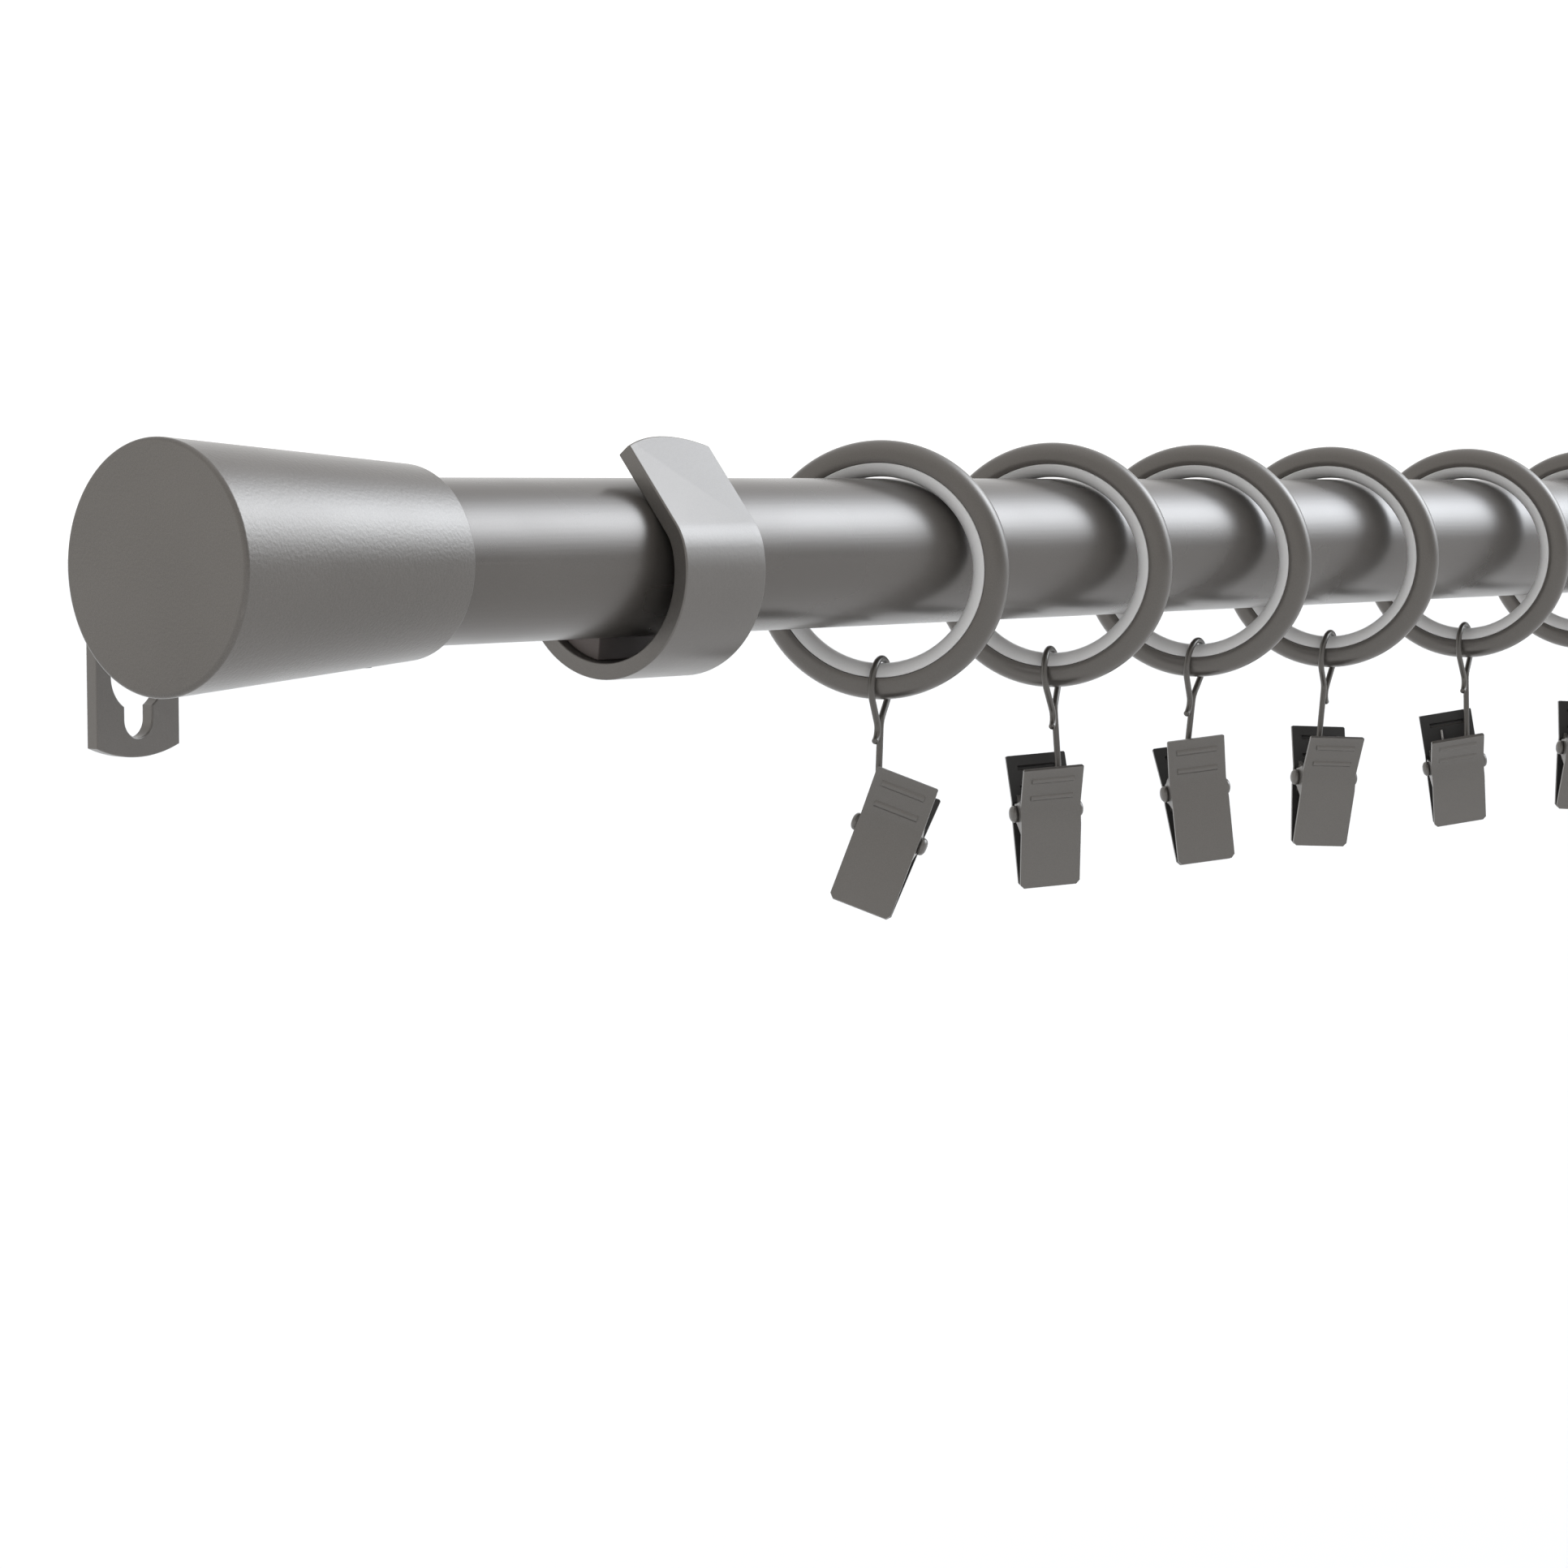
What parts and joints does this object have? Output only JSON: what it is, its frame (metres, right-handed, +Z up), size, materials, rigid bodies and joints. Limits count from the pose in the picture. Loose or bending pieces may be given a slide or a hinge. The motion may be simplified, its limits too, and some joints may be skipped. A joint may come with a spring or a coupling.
{
  "type": "curtain rod",
  "caption": "Round metal curtain pole with tapered finials, on two strip-steel wall brackets with cradle hooks, carrying loose lined rings with wire hooks and sprung clips",
  "frame": {"origin": "half way between the two round wall-screw holes, on the wall plane", "axes": "+X along the pole to the right as seen from the room, +Y into the wall, +Z up"},
  "size_m": [0.9, 0.1583, 0.092],
  "materials": {
    "rod_tube": "satin pewter-coloured coating on steel",
    "finial": "satin pewter-coloured coating on steel",
    "finial_screw": "blackened steel",
    "wall_bracket": "satin pewter-coloured coating on strip steel",
    "cradle": "satin pewter-coloured coating on strip steel",
    "cradle_pad": "matt moulded grey",
    "clamp_screw": "zinc-plated steel",
    "clamp_nut": "zinc-plated steel",
    "ring": "satin pewter-coloured coating on steel",
    "ring_liner": "smooth moulded plastic, silver-white",
    "hook": "satin pewter-coloured plating on steel",
    "clip_front": "satin pewter-coloured plating on steel",
    "clip_pin": "satin pewter-coloured plating on steel",
    "clip_spring": "bright spring wire",
    "clip_back": "satin pewter-coloured plating on steel"
  },
  "bodies": {
    "pole": {"rod_tube": "rod_tube", "finial_left": "finial", "finial_right": "finial", "finial_screw_left": "finial_screw", "finial_screw_right": "finial_screw", "wall_bracket_left": "wall_bracket", "cradle_left": "cradle", "cradle_pad_left": "cradle_pad", "clamp_screw_left": "clamp_screw", "clamp_nut_left": "clamp_nut", "wall_bracket_right": "wall_bracket", "cradle_right": "cradle", "cradle_pad_right": "cradle_pad", "clamp_screw_right": "clamp_screw", "clamp_nut_right": "clamp_nut"},
    "ring_body_1": {"ring_1": "ring", "ring_liner_1": "ring_liner"},
    "hook_body_1": {"hook_1": "hook"},
    "clip_body_1": {"clip_front_1": "clip_front", "clip_pin_1": "clip_pin", "clip_spring_1": "clip_spring"},
    "jaw_body_1": {"clip_back_1": "clip_back"},
    "ring_body_2": {"ring_2": "ring", "ring_liner_2": "ring_liner"},
    "hook_body_2": {"hook_2": "hook"},
    "clip_body_2": {"clip_back_2": "clip_back", "clip_pin_2": "clip_pin", "clip_spring_2": "clip_spring"},
    "jaw_body_2": {"clip_front_2": "clip_front"},
    "ring_body_3": {"ring_3": "ring", "ring_liner_3": "ring_liner"},
    "hook_body_3": {"hook_3": "hook"},
    "clip_body_3": {"clip_front_3": "clip_front", "clip_pin_3": "clip_pin", "clip_spring_3": "clip_spring"},
    "jaw_body_3": {"clip_back_3": "clip_back"},
    "ring_body_4": {"ring_4": "ring", "ring_liner_4": "ring_liner"},
    "hook_body_4": {"hook_4": "hook"},
    "clip_body_4": {"clip_back_4": "clip_back", "clip_pin_4": "clip_pin", "clip_spring_4": "clip_spring"},
    "jaw_body_4": {"clip_front_4": "clip_front"},
    "ring_body_5": {"ring_5": "ring", "ring_liner_5": "ring_liner"},
    "hook_body_5": {"hook_5": "hook"},
    "clip_body_5": {"clip_back_5": "clip_back", "clip_pin_5": "clip_pin", "clip_spring_5": "clip_spring"},
    "jaw_body_5": {"clip_front_5": "clip_front"},
    "ring_body_6": {"ring_6": "ring", "ring_liner_6": "ring_liner"},
    "hook_body_6": {"hook_6": "hook"},
    "clip_body_6": {"clip_back_6": "clip_back", "clip_pin_6": "clip_pin", "clip_spring_6": "clip_spring"},
    "jaw_body_6": {"clip_front_6": "clip_front"}
  },
  "joints": [
    {"name": "ring_slide_1", "type": "slide", "parent": "pole", "child": "ring_body_1", "axis": [1, 0, 0], "range_m": [-0.0455, 0.0335]},
    {"name": "hook_swing_1", "type": "hinge", "parent": "ring_body_1", "child": "hook_body_1", "pos_m": [-0.263, -0.134, -0.0133], "axis": [-0.4617, 0.887, 0], "range_deg": [-35, 35]},
    {"name": "clip_swing_1", "type": "hinge", "parent": "hook_body_1", "child": "clip_body_1", "pos_m": [-0.26139, -0.13496, -0.04279], "axis": [-0.4541, 0.8192, 0.3502], "range_deg": [-36.5, 8.5]},
    {"name": "jaw_open_1", "type": "hinge", "parent": "clip_body_1", "child": "jaw_body_1", "pos_m": [-0.26139, -0.13496, -0.04279], "axis": [0.4541, -0.8192, -0.3502], "range_deg": [0, 24], "stiffness_Nm_per_rad": 0.01, "springref_deg": -68.75, "deforming": ["clip_spring_1"]},
    {"name": "ring_slide_2", "type": "slide", "parent": "pole", "child": "ring_body_2", "axis": [1, 0, 0], "range_m": [-0.0335, 0.0405]},
    {"name": "hook_swing_2", "type": "hinge", "parent": "ring_body_2", "child": "hook_body_2", "pos_m": [-0.205, -0.134, -0.0133], "axis": [-0.3907, 0.9205, 0], "range_deg": [-35, 35]},
    {"name": "clip_swing_2", "type": "hinge", "parent": "hook_body_2", "child": "clip_body_2", "pos_m": [-0.20599, -0.13363, -0.04207], "axis": [0.7547, -0.6514, 0.0785], "range_deg": [-29.7, 15.3]},
    {"name": "jaw_open_2", "type": "hinge", "parent": "clip_body_2", "child": "jaw_body_2", "pos_m": [-0.20599, -0.13363, -0.04207], "axis": [-0.7547, 0.6514, -0.0785], "range_deg": [0, 24], "stiffness_Nm_per_rad": 0.01, "springref_deg": -68.75, "deforming": ["clip_spring_2"]},
    {"name": "ring_slide_3", "type": "slide", "parent": "pole", "child": "ring_body_3", "axis": [1, 0, 0], "range_m": [-0.0405, 0.037]},
    {"name": "hook_swing_3", "type": "hinge", "parent": "ring_body_3", "child": "hook_body_3", "pos_m": [-0.15, -0.134, -0.0133], "axis": [-0.3584, 0.9336, 0], "range_deg": [-35, 35]},
    {"name": "clip_swing_3", "type": "hinge", "parent": "hook_body_3", "child": "clip_body_3", "pos_m": [-0.14786, -0.13278, -0.04141], "axis": [-0.7215, 0.6823, -0.1184], "range_deg": [-32.8, 12.2]},
    {"name": "jaw_open_3", "type": "hinge", "parent": "clip_body_3", "child": "jaw_body_3", "pos_m": [-0.14786, -0.13278, -0.04141], "axis": [0.7215, -0.6823, 0.1184], "range_deg": [0, 24], "stiffness_Nm_per_rad": 0.01, "springref_deg": -68.75, "deforming": ["clip_spring_3"]},
    {"name": "ring_slide_4", "type": "slide", "parent": "pole", "child": "ring_body_4", "axis": [1, 0, 0], "range_m": [-0.037, 0.0415]},
    {"name": "hook_swing_4", "type": "hinge", "parent": "ring_body_4", "child": "hook_body_4", "pos_m": [-0.094, -0.134, -0.0133], "axis": [-0.3007, 0.9537, 0], "range_deg": [-35, 35]},
    {"name": "clip_swing_4", "type": "hinge", "parent": "hook_body_4", "child": "clip_body_4", "pos_m": [-0.09382, -0.13308, -0.04187], "axis": [0.7449, -0.666, -0.0384], "range_deg": [-28.5, 16.5]},
    {"name": "jaw_open_4", "type": "hinge", "parent": "clip_body_4", "child": "jaw_body_4", "pos_m": [-0.09382, -0.13308, -0.04187], "axis": [-0.7449, 0.666, 0.0384], "range_deg": [0, 24], "stiffness_Nm_per_rad": 0.01, "springref_deg": -68.75, "deforming": ["clip_spring_4"]},
    {"name": "ring_slide_5", "type": "slide", "parent": "pole", "child": "ring_body_5", "axis": [1, 0, 0], "range_m": [-0.0415, 0.049]},
    {"name": "hook_swing_5", "type": "hinge", "parent": "ring_body_5", "child": "hook_body_5", "pos_m": [-0.03, -0.134, -0.0133], "axis": [-0.2689, 0.9632, 0], "range_deg": [-35, 35]},
    {"name": "clip_swing_5", "type": "hinge", "parent": "hook_body_5", "child": "clip_body_5", "pos_m": [-0.03093, -0.13224, -0.04239], "axis": [0.6072, -0.7772, 0.165], "range_deg": [-44.5, 0.5]},
    {"name": "jaw_open_5", "type": "hinge", "parent": "clip_body_5", "child": "jaw_body_5", "pos_m": [-0.03093, -0.13224, -0.04239], "axis": [-0.6072, 0.7772, -0.165], "range_deg": [0, 24], "stiffness_Nm_per_rad": 0.01, "springref_deg": -68.75, "deforming": ["clip_spring_5"]},
    {"name": "ring_slide_6", "type": "slide", "parent": "pole", "child": "ring_body_6", "axis": [1, 0, 0], "range_m": [-0.049, 0.28]},
    {"name": "hook_swing_6", "type": "hinge", "parent": "ring_body_6", "child": "hook_body_6", "pos_m": [0.032, -0.134, -0.0133], "axis": [-0.2215, 0.9751, 0], "range_deg": [-35, 35]},
    {"name": "clip_swing_6", "type": "hinge", "parent": "hook_body_6", "child": "clip_body_6", "pos_m": [0.03342, -0.13454, -0.04195], "axis": [0.6937, -0.7184, -0.0523], "range_deg": [-30.5, 14.5]},
    {"name": "jaw_open_6", "type": "hinge", "parent": "clip_body_6", "child": "jaw_body_6", "pos_m": [0.03342, -0.13454, -0.04195], "axis": [-0.6937, 0.7184, 0.0523], "range_deg": [0, 24], "stiffness_Nm_per_rad": 0.01, "springref_deg": -68.75, "deforming": ["clip_spring_6"]}
  ]
}
